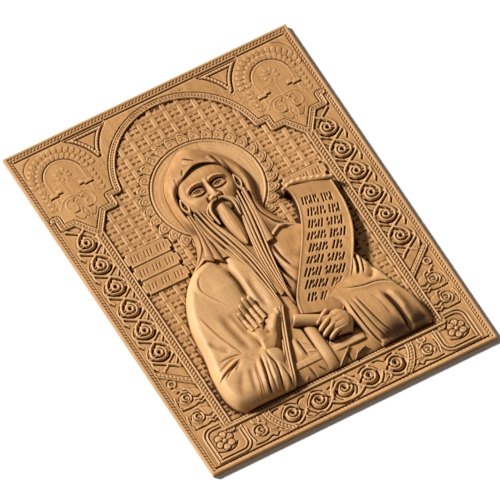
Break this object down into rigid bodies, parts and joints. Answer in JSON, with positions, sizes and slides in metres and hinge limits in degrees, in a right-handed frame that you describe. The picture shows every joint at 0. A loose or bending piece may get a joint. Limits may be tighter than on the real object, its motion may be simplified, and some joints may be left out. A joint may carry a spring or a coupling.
{
  "type": "carved wooden icon",
  "caption": "Rectangular wooden icon carved in relief: a hooded, bearded figure with a halo and a scroll, in a frame of scrollwork borders under a round arch.",
  "frame": {"origin": "centre of the flat back, which the icon lies on", "axes": "+X to the viewer's right across the picture, +Y towards its top, +Z out of the carved face"},
  "size_m": [0.26, 0.34, 0.0184],
  "materials": {
    "wood": "oiled hardwood, satin, fine grain along the height, dark stain left in the deep cuts"
  },
  "bodies": {
    "root": {"icon_panel": "wood"}
  },
  "joints": []
}
